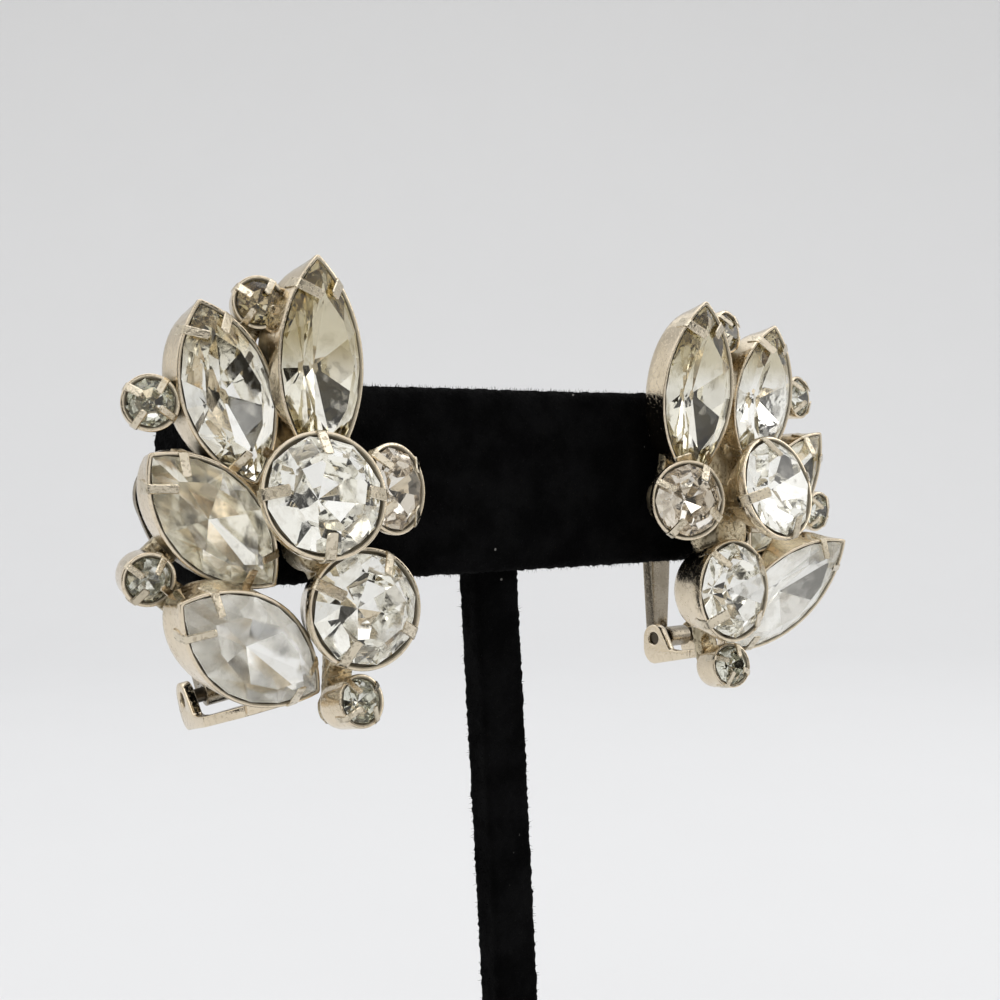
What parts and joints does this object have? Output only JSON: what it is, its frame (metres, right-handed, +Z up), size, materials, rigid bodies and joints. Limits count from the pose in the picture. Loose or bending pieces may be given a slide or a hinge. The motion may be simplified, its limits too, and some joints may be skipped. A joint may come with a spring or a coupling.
{
  "type": "pair of clip-on earrings on a t-bar stand",
  "caption": "Clustered cut-stone earrings with hinged clip backs, clipped side by side to the crossbar of a small velvet-covered display stand.",
  "frame": {"origin": "centre of the underside of the stand's base", "axes": "+X along the crossbar to the viewer's right, -Y towards the front of the earrings, +Z up"},
  "size_m": [0.0693, 0.046, 0.1085],
  "materials": {
    "crystal": "cut and foil-backed",
    "plated_metal": "polished, warm silver plating",
    "hinge_steel": "plain wire",
    "velvet": "short black pile"
  },
  "bodies": {
    "root": {"stone_navette_inner_right": "crystal", "stone_navette_upper_right": "crystal", "stone_navette_outer_right": "crystal", "stone_navette_lower_right": "crystal", "stone_round_centre_right": "crystal", "stone_round_lower_right": "crystal", "stone_round_inner_right": "crystal", "stone_small_top_right": "crystal", "stone_small_upper_right": "crystal", "stone_small_outer_right": "crystal", "stone_small_bottom_right": "crystal", "stone_navette_inner_left": "crystal", "stone_navette_upper_left": "crystal", "stone_navette_outer_left": "crystal", "stone_navette_lower_left": "crystal", "stone_round_centre_left": "crystal", "stone_round_lower_left": "crystal", "stone_round_inner_left": "crystal", "stone_small_top_left": "crystal", "stone_small_upper_left": "crystal", "stone_small_outer_left": "crystal", "stone_small_bottom_left": "crystal", "setting_right": "plated_metal", "setting_left": "plated_metal", "hinge_pin_right": "hinge_steel", "hinge_pin_left": "hinge_steel", "stand_bar": "velvet", "stand_stem": "velvet", "stand_base": "velvet"},
    "clip_right": {"clip_paddle_right": "plated_metal"},
    "clip_left": {"clip_paddle_left": "plated_metal"}
  },
  "joints": [
    {"name": "clip_hinge_right", "type": "hinge", "parent": "root", "child": "clip_right", "pos_m": [0.01957, 0.00281, 0.0768], "axis": [-0.9952, -0.0976, 0], "range_deg": [0, 75], "stiffness_Nm_per_rad": 0.002, "springref_deg": -20.05},
    {"name": "clip_hinge_left", "type": "hinge", "parent": "root", "child": "clip_left", "pos_m": [-0.0275, 0.00269, 0.07629], "axis": [-0.9786, 0.0959, -0.1822], "range_deg": [0, 75], "stiffness_Nm_per_rad": 0.002, "springref_deg": -20.05}
  ]
}
